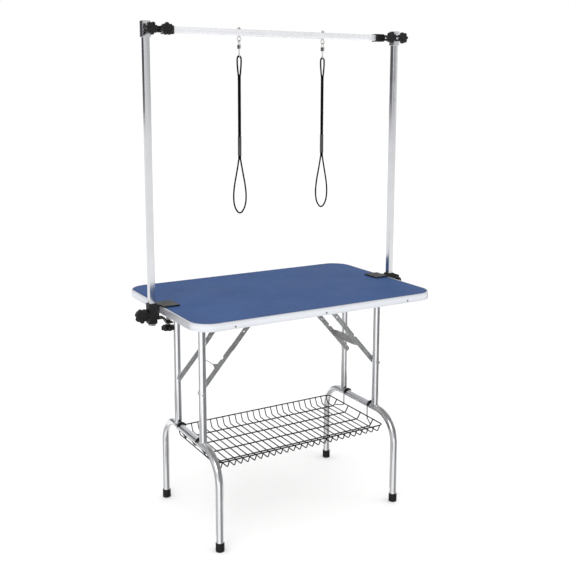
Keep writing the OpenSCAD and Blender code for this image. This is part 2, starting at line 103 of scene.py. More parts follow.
# widest and thickness of each knob
SMALL_KNOB, LARGE_KNOB, CLAMP_KNOB = (40 * MM, 13 * MM), (48 * MM, 14 * MM), (44 * MM, 14 * MM)
KNOB_SPLIT = 45 * MM  # knobs narrower than this are the small ones
HUB_SHARE, HUB_LEN, STUD_TUCK, CLAMP_HUB_R = 0.2, 6 * MM, 4 * MM, 9 * MM  # hubs and the stud's hidden end
SCREW_PITCH = 1.5 * MM
# MAT_BORDER is the width of the flat band round the mat's top that takes the darker border finish, painted
# shade beside the trim's lip
MAT_GAP, MAT_BORDER, MAT_BEND_STEPS = 0.15 * MM, 1.6 * MM, 5
HOOK_SLEEVE_R, HOOK_BEND = 3.2 * MM, 7 * MM
HOOK_TUCK, HOOK_DROP, HOOK_RISE, HOOK_GAP = 9 * MM, 9 * MM, 5 * MM, 0.1 * MM  # the hook's foot in the basket
ROPE_STEPS, STRANDS, BRAID_DEPTH = 28, 6, 0.035  # curve steps; strands each way; their height by the radius


# ---- settings ----
def colour_setting(name, about, default):
    return FloatVectorProperty(name=name, description=about, subtype="COLOR", default=default, min=0, max=1)


def length_setting(name, about, default, least, most):
    return FloatProperty(name=name, description=about, default=default, min=least, max=most, unit="LENGTH")


class TopSettings(bpy.types.PropertyGroup):
    """Sizes and colours of the tabletop's mat and trim"""

    mat_colour: colour_setting("Mat colour", "Colour of the non-slip mat", (0.027, 0.080, 0.232))
    trim_colour: colour_setting("Trim colour", "Colour of the aluminium edge trim", (0.75, 0.77, 0.81))
    corner_radius: length_setting("Corner radius", "Corner radius of the top", 0.072, 0.05, 0.09)
    lip: length_setting("Lip", "Width of the trim's lip around the mat", 0.005, 0.004, 0.008)
    mat_edge: length_setting("Mat edge", "Radius of the mat's rounded edge", 0.0009, 0.0002, 0.0015)
    pebble: length_setting("Pebble size", "Size of one pebble of the mat's texture", 0.0024, 0.001, 0.004)


class MetalSettings(bpy.types.PropertyGroup):
    """Colours of the plated, galvanised and coated metals"""

    plate_colour: colour_setting("Plating", "Colour of the bright plated tubes", (0.78, 0.79, 0.81))
    zinc_colour: colour_setting("Zinc", "Colour of the galvanised braces", (0.52, 0.53, 0.54))
    nickel_colour: colour_setting("Nickel", "Colour of the snap hooks and eye bolts", (0.60, 0.59, 0.57))
    black_colour: colour_setting(
        "Black coat", "Colour of the coated clamps and wires", (0.005, 0.005, 0.0055))
    edge_round: length_setting(
        "Edge round", "Radius of the rounded edges of the stamped pieces", 0.0006, 0.0001, 0.001)
    weld_r: length_setting("Weld bead", "Radius of the weld beads on the leg frames", 0.0016, 0.001, 0.0025)


class KnobSettings(bpy.types.PropertyGroup):
    """Shape and colour of the star knobs"""

    colour: colour_setting("Plastic", "Colour of the knobs' plastic", (0.006, 0.006, 0.0065))
    lobes: IntProperty(name="Lobes", description="Lobes around a star knob", default=7, min=5, max=9)
    stud_r: length_setting("Stud radius", "Outer radius of the knobs' threaded studs", 0.004, 0.003, 0.005)
    stud_pitch: length_setting("Stud pitch", "Pitch of the studs' thread", 0.00125, 0.001, 0.002)


class NooseSettings(bpy.types.PropertyGroup):
    """Sizes and colours of the nooses"""

    rope_colour: colour_setting("Rope colour", "Colour of the braided rope", (0.003, 0.003, 0.0033))
    slider_colour: colour_setting("Slider colour", "Colour of the sliding sleeve", (0.045, 0.045, 0.048))
    rope_d: length_setting("Rope diameter", "Diameter of the rope", 0.0055, 0.004, 0.0055)
    braid: length_setting("Braid pitch", "Length of one turn of a strand round the rope", 0.016, 0.008, 0.03)


class BasketSettings(bpy.types.PropertyGroup):
    """Wires of the basket"""

    cross_r: length_setting("Cross wire", "Radius of the cross wires", 0.0019, 0.001, 0.002)
    long_r: length_setting("Long wire", "Radius of the long wires", 0.0022, 0.001, 0.0025)
    hook_r: length_setting("Hook wire", "Radius of the hooks' wire", 0.00175, 0.001, 0.0025)
    pitch: length_setting("Wire pitch", "Distance between the cross wires", 0.0254, 0.02, 0.03)
    bend: length_setting("Bend", "Size of the wires' bends", 0.007, 0.002, 0.01)


class StudioSettings(bpy.types.PropertyGroup):
    """Camera, floor and light"""

    azimuth: FloatProperty(
        name="Azimuth", description="Direction of the camera round the table", default=math.radians(-30.541),
        unit="ROTATION")
    elevation: FloatProperty(
        name="Elevation", description="Downward tilt of the camera", default=math.radians(9.492),
        unit="ROTATION")
    roll: FloatProperty(
        name="Roll", description="Sideways tilt of the camera", default=math.radians(0.195), unit="ROTATION")
    place: FloatVectorProperty(
        name="Place", description="Place of the camera", default=(-1.4976, -2.5954, 1.4879),
        subtype="TRANSLATION")
    lens: FloatProperty(name="Lens", description="Focal length of the camera in millimetres", default=54.44)
    shift: FloatProperty(name="Shift", description="Upward shift of the lens", default=-0.095)
    floor_colour: colour_setting("Floor", "Colour of the floor", (0.97, 0.97, 0.97))
    sky: FloatProperty(name="Sky", description="Strength of the light from all round", default=1.16, min=0)
    key: FloatProperty(name="Key light", description="Power of the main soft light", default=42.0, min=0,
                       unit="POWER")
    fill: FloatProperty(name="Fill light", description="Power of the second soft light", default=12.0,
                        min=0, unit="POWER")


# ---- mesh helpers ----
def put(name, data):
    """A new object in the scene."""
    made = bpy.data.objects.new(name, data)
    bpy.context.scene.collection.objects.link(made)
    return made


class Shape:
    """Collects points and faces, then becomes one piece."""

    def __init__(self):
        self.points, self.faces = [], []

    def add(self, part, matrix=None):
        points, faces = part
        start = len(self.points)
        self.points += [matrix @ Vector(p) if matrix else Vector(p) for p in points]
        self.faces += [[start + i for i in face] for face in faces]
        return self

    def mesh(self, name):
        made = bpy.data.meshes.new(name)
        made.from_pydata(self.points, [], self.faces)
        return made

    def build(self, name, finish_name, body, nodes=(), slot="", sharp=40):
        """Makes the piece on its body; edges over the sharp angle, in degrees, stay crisp."""
        mesh = self.mesh(name)
        made = bmesh.new()
        made.from_mesh(mesh)
        bmesh.ops.recalc_face_normals(made, faces=made.faces)
        made.to_mesh(mesh)
        made.free()
        mesh.shade_smooth()
        mesh.set_sharp_from_angle(angle=math.radians(sharp))
        mesh.materials.append(finish_of(finish_name))
        piece = put(name, mesh)
        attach(piece, body)
        if nodes:
            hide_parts(*nodes)
        return piece


def ring(steps, radius, z):
    """Points round Z; radius is a number or a function of (step, angle)."""
    points = []
    for k in range(steps):
        angle = math.tau * k / steps
        r = radius(k, angle) if callable(radius) else radius
        points.append((r * math.cos(angle), r * math.sin(angle), z))
    return points


def skin(rings, sides, closed=False):
    """Faces over a row of rings. Closed joins the last ring to the first; otherwise both ends are capped."""
    faces = []
    for i in range(rings if closed else rings - 1):
        for k in range(sides):
            a, b = i * sides + k, i * sides + (k + 1) % sides
            c, d = (i + 1) % rings * sides + (k + 1) % sides, (i + 1) % rings * sides + k
            faces.append([a, b, c, d])
    if not closed:
        faces.append(list(range(sides - 1, -1, -1)))
        faces.append(list(range((rings - 1) * sides, rings * sides)))
    return faces


def turned(profile, steps=32, closed=False):
    """A shape turned about Z from (radius, height) pairs. It starts and ends on the axis, or is closed."""
    points = [p for radius, height in profile for p in ring(steps, radius, height)]
    return points, skin(len(profile), steps, closed)


def directions(path, closed=False):
    """Unit direction of travel at each point of a path."""
    last = len(path) - 1
    found = []
    for i in range(len(path)):
        if closed:
            before, after = path[i - 1], path[(i + 1) % len(path)]
        else:
            before, after = path[max(i - 1, 0)], path[min(i + 1, last)]
        found.append((after - before).normalized())
    return found


def swept(path, radius, sides=12, closed=False, side_start=None):
    """A tube along a path. radius is a number or a function of (step, angle)."""
    path = [Vector(p) for p in path]
    along = directions(path, closed)
    normal = Vector(side_start) if side_start else along[0].orthogonal()
    points = []
    for i, (p, t) in enumerate(zip(path, along)):
        normal = (normal - normal.dot(t) * t).normalized()
        across = t.cross(normal)
        for k in range(sides):
            angle = math.tau * k / sides
            r = radius(i, angle) if callable(radius) else radius
            points.append(p + r * (math.cos(angle) * normal + math.sin(angle) * across))
    return points, skin(len(path), sides, closed)


def rounded_corners(corners, size, steps=5):
    """The path through the corners, with each inner corner rounded off."""
    corners = [Vector(p) for p in corners]
    path = [corners[0]]
    for before, corner, after in zip(corners, corners[1:], corners[2:]):
        start = corner + (before - corner).normalized() * size
        end = corner + (after - corner).normalized() * size
        for i in range(steps + 1):
            t = i / steps
            path.append((1 - t) ** 2 * start + 2 * t * (1 - t) * corner + t ** 2 * end)
    path.append(corners[-1])
    return path


def smooth_path(points, steps):
    """A Catmull-Rom curve through the points."""
    points = [Vector(p) for p in points]
    ends = [2 * points[0] - points[1]] + points + [2 * points[-1] - points[-2]]
    path = []
    for a, b, c, d in zip(ends, ends[1:], ends[2:], ends[3:]):
        for i in range(steps):
            t = i / steps
            path.append(0.5 * (2 * b + (c - a) * t + (2 * a - 5 * b + 4 * c - d) * t ** 2
                               + (3 * b - a - 3 * c + d) * t ** 3))
    path.append(points[-1])
    return path


def table_outline(inset, corner_steps=24):
    """Points and outward directions round the top, inset from its edge."""
    edge = high("edge_trim")
    radius = bpy.context.scene.grooming_top.corner_radius
    found = []
    for quarter, (sx, sy) in enumerate([(1, 1), (-1, 1), (-1, -1), (1, -1)]):
        centre = Vector((sx * (edge.x - radius), sy * (edge.y - radius), 0))
        for i in range(corner_steps + 1):
            angle = math.radians(90) * (quarter + i / corner_steps)
            outward = Vector((math.cos(angle), math.sin(angle), 0))
            found.append((centre + (radius - inset) * outward, outward))
    return found


def threaded(radius, pitch, z0, z1, sides=20, per_turn=6):
    """A threaded rod along Z with chamfered ends."""
    depth = 0.55 * pitch
    root = radius - depth
    steps = int((z1 - z0) / pitch * per_turn)
    points = []
    for i in range(steps + 1):
        z = z0 + (z1 - z0) * i / steps
        end = min(z - z0, z1 - z)

        def thread(k, _angle):
            phase = (z / pitch - k / sides) % 1
            return min(radius - depth * abs(2 * phase - 1), root + end)

        points += ring(sides, thread, z)
    return points, skin(steps + 1, sides)


def facing(direction, place):
    """Matrix that turns +Z to the direction and moves to the place."""
    return Matrix.Translation(place) @ Vector(direction).to_track_quat("Z", "Y").to_matrix().to_4x4()


# ---- shader helpers ----
class Graph:
    """Adds and joins shader nodes in short lines."""

    def __init__(self, tree):
        self.tree = tree
        self.column = 0

    def node(self, kind, inputs=None, **settings):
        made = self.tree.nodes.new(kind)
        made.location = (self.column, 0)
        self.column += 180
        for key, value in settings.items():
            setattr(made, key, value)
        for key, value in (inputs or {}).items():
            self.give(made.inputs[key], value)
        return made

    def give(self, socket, value):
        if isinstance(value, bpy.types.NodeSocket):
            self.tree.links.new(value, socket)
        else:
            socket.default_value = value

    def group(self, name, **inputs):
        label, make = EFFECTS[name]
        made = self.node("ShaderNodeGroup", node_tree=bpy.data.node_groups.get(label) or make(label))
        for key, value in inputs.items():
            self.give(made.inputs[key.replace("_", " ").title()], value)
        return made

    def noise(self, vector, scale, detail=3.0, rough=0.5):
        return self.node("ShaderNodeTexNoise", {"Vector": vector, "Scale": scale, "Detail": detail,
                                                "Roughness": rough}).outputs["Fac"]

    def remap(self, value, low_in, high_in, low_out=0.0, high_out=1.0):
        return self.node("ShaderNodeMapRange", {"Value": value, "From Min": low_in, "From Max": high_in,
                                                "To Min": low_out, "To Max": high_out}).outputs["Result"]

    def mix(self, share, a, b):
        made = self.node("ShaderNodeMix", data_type="RGBA")
        self.give(made.inputs["Factor"], share)
        self.give(made.inputs["A"], a if isinstance(a, bpy.types.NodeSocket) else (*a[:3], 1))
        self.give(made.inputs["B"], b if isinstance(b, bpy.types.NodeSocket) else (*b[:3], 1))
        return made.outputs["Result"]

    def maths(self, operation, a, b):
        made = self.node("ShaderNodeMath", operation=operation)
        self.give(made.inputs[0], a)
        self.give(made.inputs[1], b)
        return made.outputs[0]

    def plus(self, a, b):
        return self.maths("ADD", a, b)

    def times(self, a, b):
        return self.maths("MULTIPLY", a, b)

    def mask(self, name, vector, scale):
        return self.group(name, vector=vector, scale=scale).outputs["Mask"]

    def drawn(self, vector, stretch, coarse):
        return self.group("drawn", vector=vector, stretch=stretch, coarse=coarse).outputs["Value"]

    def upward(self):
        """How far the surface looks up, from -1 to 1."""
        normal = self.node("ShaderNodeNewGeometry").outputs["Normal"]
        return self.node("ShaderNodeSeparateXYZ", {"Vector": normal}).outputs["Z"]

    def stretch(self, vector, scale):
        return self.node("ShaderNodeVectorMath", {0: vector, 1: scale},
                         operation="MULTIPLY").outputs["Vector"]

    def place(self):
        return self.node("ShaderNodeTexCoord").outputs["Object"]


def effect(name, inputs, outputs):
    """A new node group with its sockets; returns its graph, its inputs and its output node."""
    tree = bpy.data.node_groups.new(name, "ShaderNodeTree")
    kinds = {"vector": "NodeSocketVector", "number": "NodeSocketFloat", "colour": "NodeSocketColor"}
    for label, kind, default in inputs:
        socket = tree.interface.new_socket(label, in_out="INPUT", socket_type=kinds[kind])
        socket.default_value = default
    for label, kind in outputs:
        tree.interface.new_socket(label, in_out="OUTPUT", socket_type=kinds[kind])
    graph = Graph(tree)
    return graph, graph.node("NodeGroupInput").outputs, tree.nodes.new("NodeGroupOutput").inputs


def scaled_effect(name, scale, output):
    """A node group that takes a place and a scale and puts out one number."""
    return effect(name, [("Vector", "vector", (0, 0, 0)), ("Scale", "number", scale)], [(output, "number")])


def make_drawn(name):
    """Fine lines left by drawing or polishing, running along the axis that Stretch scales least."""
    graph, given, out = effect(name, [("Vector", "vector", (0, 0, 0)), ("Stretch", "vector", (1, 1, 1)),
                                      ("Coarse", "number", 0.5)], [("Value", "number")])
    lines = graph.stretch(given["Vector"], given["Stretch"])
    fine = graph.noise(lines, 1.0, 2.0)
    broad = graph.noise(lines, 0.17, 1.0)
    mixed = graph.node("ShaderNodeMix", {"Factor": given["Coarse"], "A": fine, "B": broad})
    graph.give(out["Value"], mixed.outputs["Result"])
    return graph.tree


def make_smudge(name):
    """Soft uneven patches, such as handling marks, from 0 to 1."""
    graph, given, out = scaled_effect(name, 10.0, "Mask")
    patches = graph.noise(given["Vector"], given["Scale"], 5.0, 0.6)
    graph.give(out["Mask"], graph.remap(patches, 0.40, 0.66))
    return graph.tree


def make_scratches(name):
    """Thin random scratches in two directions, from 0 to 1."""
    graph, given, out = scaled_effect(name, 60.0, "Mask")
    masks = []
    for stretch, turn in (((1, 9, 3), 0.4), ((8, 1, 4), 1.3)):
        turned_place = graph.node("ShaderNodeVectorRotate",
                                  {"Vector": given["Vector"], "Angle": turn}).outputs["Vector"]
        streaks = graph.noise(graph.stretch(turned_place, stretch), given["Scale"], 2.0)
        masks.append(graph.remap(streaks, 0.67, 0.72))
    graph.give(out["Mask"], graph.maths("MAXIMUM", *masks))
    return graph.tree


def make_peel(name):
    """The fine dimples of powder coat or moulded plastic, as a height."""
    graph, given, out = scaled_effect(name, 900.0, "Height")
    dimples = graph.noise(given["Vector"], given["Scale"], 2.0)
    grit = graph.noise(given["Vector"], graph.times(given["Scale"], 3.7), 1.0)
    graph.give(out["Height"], graph.plus(dimples, graph.times(grit, 0.3)))
    return graph.tree


def make_settled(name):
    """Mask of the faces that look up, broken up by noise, where dust settles."""
    graph, given, out = scaled_effect(name, 40.0, "Mask")
    lying = graph.remap(graph.upward(), 0.35, 1.0)
    broken = graph.remap(graph.noise(given["Vector"], given["Scale"], 4.0), 0.35, 0.7, 0.3, 1.0)
    graph.give(out["Mask"], graph.times(lying, broken))
    return graph.tree


EFFECTS = {
    "drawn": ("Drawn Lines", make_drawn),
    "smudge": ("Smudges", make_smudge),
    "scratches": ("Scratches", make_scratches),
    "peel": ("Peel", make_peel),
    "settled": ("Settled Dust", make_settled),
}


def material(name, metallic=0.0, specular=0.5, coat=0.0, coat_rough=0.1):
    """A new material; returns it with its graph and its Principled shader."""
    made = bpy.data.materials.new(name)
    made.use_nodes = True
    shader = made.node_tree.nodes["Principled BSDF"]
    shader.inputs["Metallic"].default_value = metallic
    shader.inputs["Specular IOR Level"].default_value = specular
    shader.inputs["Coat Weight"].default_value = coat
    shader.inputs["Coat Roughness"].default_value = coat_rough
    return made, Graph(made.node_tree), shader


def finish(graph, shader, colour, roughness, height=None, depth=0.0001, strength=0.5):
    """Joins the colour, roughness and height to the shader."""
    graph.give(shader.inputs["Base Color"], colour)
    graph.give(shader.inputs["Roughness"], roughness)
    if height is not None:
        bump = graph.node("ShaderNodeBump", {"Height": height, "Distance": depth, "Strength": strength})
        graph.give(shader.inputs["Normal"], bump.outputs["Normal"])


def scaled(colour, factor):
    return tuple(min(1.0, c * factor) for c in colour[:3])


def plated(name, colour, lines, rough=0.13, metallic=1.0):
    """Bright plating over drawn steel; lines is the stretch of its polishing lines."""
    made, graph, shader = material(name, metallic=metallic)
    place = graph.place()
    drawn = graph.drawn(place, lines, 0.4)
    smudge = graph.mask("smudge", place, 14.0)
    scratch = graph.mask("scratches", place, 45.0)
    tone = graph.mix(graph.remap(drawn, 0.3, 0.7), scaled(colour, 0.93), scaled(colour, 1.04))
    tone = graph.mix(graph.times(smudge, 0.25), tone, scaled(colour, 0.90))
    roughness = graph.plus(graph.remap(drawn, 0.3, 0.7, rough * 0.85, rough * 1.2),
                           graph.times(graph.maths("MAXIMUM", smudge, scratch), 0.05))
    finish(graph, shader, tone, roughness, drawn, 0.00001, 0.15)
    return made


def galvanised(name, colour, rough=0.38):
    """Zinc coat with its crystals."""
    made, graph, shader = material(name, metallic=0.8)
    place = graph.place()
    crystals = graph.node("ShaderNodeTexVoronoi", {"Vector": place, "Scale": 170.0})
    tone_share = graph.node("ShaderNodeSeparateColor", {"Color": crystals.outputs["Color"]}).outputs[0]
    smudge = graph.mask("smudge", place, 22.0)
    scratch = graph.mask("scratches", place, 70.0)
    tone = graph.mix(tone_share, scaled(colour, 0.85), scaled(colour, 1.15))
    tone = graph.mix(graph.times(smudge, 0.5), tone, scaled(colour, 0.75))
    tone = graph.mix(graph.times(scratch, 0.5), tone, scaled(colour, 1.5))
    roughness = graph.plus(graph.remap(tone_share, 0.0, 1.0, rough - 0.07, rough + 0.05),
                           graph.times(smudge, 0.12))
    finish(graph, shader, tone, roughness, graph.noise(place, 420.0, 3.0), 0.00005, 0.3)
    return made


def trim_metal():
    """Satin anodised aluminium with long lines round the table."""
    colour = bpy.context.scene.grooming_top.trim_colour
    made, graph, shader = material("satin_trim", metallic=0.75)
    place = graph.place()
    drawn = graph.drawn(place, (3.0, 3.0, 900.0), 0.5)
    smudge = graph.mask("smudge", place, 9.0)
    scratch = graph.mask("scratches", place, 30.0)
    tone = graph.mix(graph.remap(drawn, 0.3, 0.7), scaled(colour, 0.88), scaled(colour, 1.06))
    tone = graph.mix(graph.times(smudge, 0.3), tone, scaled(colour, 0.92))
    roughness = graph.plus(graph.remap(drawn, 0.3, 0.7, 0.30, 0.42), graph.times(scratch, 0.08))
    finish(graph, shader, tone, roughness, drawn, 0.00004, 0.3)
    return made


def mat_rubber(name, colour):
    """Rubber mat with a pebbled surface, painted shade in the hollows between the pebbles and painted shade on
    its darker edge.
    """
    top = bpy.context.scene.grooming_top
    made, graph, shader = material(name, specular=0.18)
    place = graph.place()
    cells = graph.node("ShaderNodeTexVoronoi", {"Vector": place, "Scale": 1 / top.pebble, "Randomness": 0.85},
                       feature="SMOOTH_F1")
    pebbles = graph.remap(cells.outputs["Distance"], 0.0, 0.75, 1.0, 0.0)
    cloud = graph.noise(place, 5.0, 4.0)
    speck = graph.noise(place, 700.0, 2.0)
    smudge = graph.mask("smudge", place, 6.0)
    tone = graph.mix(graph.remap(cloud, 0.3, 0.7), scaled(colour, 0.92), scaled(colour, 1.10))
    # painted shade: the hollows between the pebbles are darkened towards a deeper copy of the mat's colour
    tone = graph.mix(graph.remap(pebbles, 0.2, 0.9, 0.28, 0.0), tone, scaled(colour, 0.55))
    tone = graph.mix(graph.remap(speck, 0.62, 0.75, 0.0, 0.25), tone, scaled(colour, 1.8))
    # painted shade: faces that don't look up, on the mat's rounded edge, are darkened towards a deep copy of
    # the mat's colour
    tone = graph.mix(graph.remap(graph.upward(), 0.4, 0.9, 0.75, 0.0), tone, scaled(colour, 0.22))
    roughness = graph.plus(graph.remap(pebbles, 0.0, 1.0, 0.62, 0.50),
                           graph.times(smudge, 0.06))
    height = graph.plus(pebbles, graph.times(speck, 0.25))
    finish(graph, shader, tone, roughness, height, 0.00035, 0.6)
    return made


def powder_coat(name, colour, rough=0.38, specular=0.3):
    """Black coat with fine dimples, a little dust on top and small scuffs."""
    made, graph, shader = material(name, specular=specular)
    place = graph.place()
    peel = graph.group("peel", vector=place, scale=850.0).outputs["Height"]
    smudge = graph.mask("smudge", place, 26.0)
    scratch = graph.mask("scratches", place, 80.0)
    dust = graph.mask("settled", place, 60.0)
    tone = graph.mix(smudge, colour, scaled(colour, 1.5))
    tone = graph.mix(graph.times(scratch, 0.3), tone, (0.10, 0.10, 0.10))
    tone = graph.mix(graph.times(dust, 0.03), tone, (0.22, 0.22, 0.22))
    roughness = graph.plus(graph.remap(peel, 0.4, 0.9, rough - 0.05, rough + 0.07),
                           graph.times(smudge, 0.10))
    finish(graph, shader, tone, roughness, peel, 0.00008, 0.4)
    return made


def moulded(name, colour, rough=0.42, scale=1500.0):
    """Moulded plastic or rubber with a fine grain."""
    made, graph, shader = material(name, specular=0.3)
    place = graph.place()
    peel = graph.group("peel", vector=place, scale=scale).outputs["Height"]
    smudge = graph.mask("smudge", place, 35.0)
    dust = graph.mask("settled", place, 90.0)
    tone = graph.mix(smudge, scaled(colour, 0.85), scaled(colour, 1.35))
    tone = graph.mix(graph.times(dust, 0.02), tone, (0.25, 0.25, 0.25))
    roughness = graph.plus(graph.remap(peel, 0.4, 0.9, rough - 0.05, rough + 0.05),
                           graph.times(smudge, 0.10))
    finish(graph, shader, tone, roughness, peel, 0.00006, 0.35)
    return made


def plywood():
    """Plywood: long grain on the faces and thin layers on the edges."""
    made, graph, shader = material("plywood", specular=0.4, coat=0.15, coat_rough=0.35)
    place = graph.place()
    grain = graph.noise(graph.stretch(place, (4.0, 42.0, 4.0)), 1.0, 6.0, 0.62)
    fibre = graph.noise(graph.stretch(place, (30.0, 900.0, 30.0)), 1.0, 2.0)
    height = graph.node("ShaderNodeSeparateXYZ", {"Vector": place}).outputs["Z"]
    layer = graph.maths("PINGPONG", graph.times(height, 1 / 0.0025), 1.0)
    tone = graph.mix(graph.remap(grain, 0.35, 0.65), (0.25, 0.22, 0.19), (0.38, 0.35, 0.31))
    tone = graph.mix(graph.remap(fibre, 0.5, 0.8, 0.0, 0.5), tone, (0.17, 0.14, 0.11))
    edge = graph.remap(graph.maths("ABSOLUTE", graph.upward(), 0.0), 0.3, 0.7, 1.0, 0.0)
    tone = graph.mix(graph.times(edge, graph.remap(layer, 0.4, 0.6, 0.0, 0.6)), tone,
                     (0.16, 0.13, 0.10))
    finish(graph, shader, tone, graph.remap(grain, 0.3, 0.7, 0.42, 0.60), fibre, 0.0001, 0.3)
    return made


def braided():
    """Braided nylon; its strands are in the mesh, and fine fibres run over them."""
    colour = bpy.context.scene.grooming_noose.rope_colour
    made, graph, shader = material("braided_rope", specular=0.02)
    place = graph.place()
    fibre = graph.noise(graph.stretch(place, (4200.0, 4200.0, 900.0)), 1.0, 2.0)
    worn = graph.noise(place, 30.0, 3.0)
    tone = graph.mix(graph.remap(fibre, 0.35, 0.7), scaled(colour, 0.7), scaled(colour, 1.9))
    tone = graph.mix(graph.remap(worn, 0.45, 0.75, 0.0, 0.5), tone, scaled(colour, 2.6))
    finish(graph, shader, tone, graph.remap(fibre, 0.3, 0.7, 0.55, 0.75), fibre, 0.0001, 0.6)
    return made


def build_finishes():
    """All the materials by name."""
    top = bpy.context.scene.grooming_top
    metal = bpy.context.scene.grooming_metal
    noose = bpy.context.scene.grooming_noose
    knob = bpy.context.scene.grooming_knob
    upright, level, lengthwise = (500.0, 500.0, 2.0), (500.0, 2.0, 500.0), (2.0, 500.0, 500.0)
    return {
        "mat": mat_rubber("mat_rubber", top.mat_colour),
        # a much darker copy of the mat's colour: painted shade for the mat's sides, bend and border band beside
        # the trim's lip
        "mat_shade_border": mat_rubber("mat_cut_border", scaled(top.mat_colour, 0.35)),
        "trim": trim_metal(),
        "board": plywood(),
        "tube_up": plated("plated_upright", metal.plate_colour, upright, 0.16),
        "tube_level": plated("plated_level", metal.plate_colour, level, 0.16),
        # a darker copy of the tubes' plating: painted shade so the posts, caps and sleeves read grey
        "post": plated("polished_post", scaled(metal.plate_colour, 0.86), upright, 0.14),
        # a lighter, partly diffuse copy of the plating: painted light so the crossbar reads nearly white
        "bar": plated("polished_bar", scaled(metal.plate_colour, 1.2), lengthwise, 0.26, 0.68),
        "nickel": plated("nickel", metal.nickel_colour, (300.0, 300.0, 300.0), 0.18),
        "zinc": galvanised("galvanised_steel", metal.zinc_colour),
        "bright_zinc": galvanised("bright_zinc", scaled(metal.zinc_colour, 1.1), 0.30),
        "rivet": galvanised("dull_rivet", scaled(metal.zinc_colour, 0.45), 0.42),
        "weld": galvanised("weld_metal", scaled(metal.zinc_colour, 0.9), 0.45),
        "coat": powder_coat("black_powder_coat", metal.black_colour),
        "wire": powder_coat("black_wire_coat", metal.black_colour, 0.42, 0.06),
        "knob": moulded("knob_plastic", knob.colour, 0.36),
        "vinyl": moulded("black_vinyl", knob.colour, 0.22),
        "foot": moulded("foot_rubber", scaled(knob.colour, 0.95), 0.55, 1100.0),
        "slider": moulded("slider_plastic", noose.slider_colour, 0.40),
        "rope": braided(),
    }


FINISHES = {}


def finish_of(name):
    if not FINISHES:
        FINISHES.update(build_finishes())
    return FINISHES[name]


def dress(node, finish_name, edge=0.0):
    """Gives a CAD node its finish and, where edge is set, softly rounded edges."""
    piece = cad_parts[node]
    piece.data.materials.clear()
    piece.data.materials.append(finish_of(finish_name))
    piece.data.shade_smooth()
    piece.data.set_sharp_from_angle(angle=math.radians(35))
    if edge:
        weld = piece.modifiers.new("join", "WELD")
        weld.merge_threshold = 0.00001
        bevel = piece.modifiers.new("edges", "BEVEL")
        bevel.width = edge
        bevel.segments = 2
        bevel.limit_method = "ANGLE"
        bevel.angle_limit = math.radians(40)
        even = piece.modifiers.new("even", "WEIGHTED_NORMAL")
        even.keep_sharp = True
    return piece


# ---- stage ----
FLOOR_R, FLOOR_STEPS = 40.0, 64
CARDS = (("dark_card", (-98, -20), 0.30), ("grey_card", (128, 186), 0.50))  # name, sector in degrees, grey
CARD_REACH, CARD_STEPS = 0.34, 16
CARD_FOOT, CARD_TOP = 0.30, 0.24  # top of the cards round the feet, bottom of those round the uprights
FLAGS = (((0.93, -0.36, 0.0), 0.62, 0.90), ((-0.45, 0.89, 0.0), 0.80, 0.97))  # direction, start and end
CEILING = (0.35, 0.80, 0.0, 0.70)  # from and to height, from and to shade
ROOM_GREY, FLAG_GREY = (0.76, 0.76, 0.77), (0.08, 0.08, 0.09)
LIGHTS = (("key", (-2.6, -2.4, 3.0), 2.4), ("fill", (2.8, -1.6, 2.2), 2.0))  # name, place, size


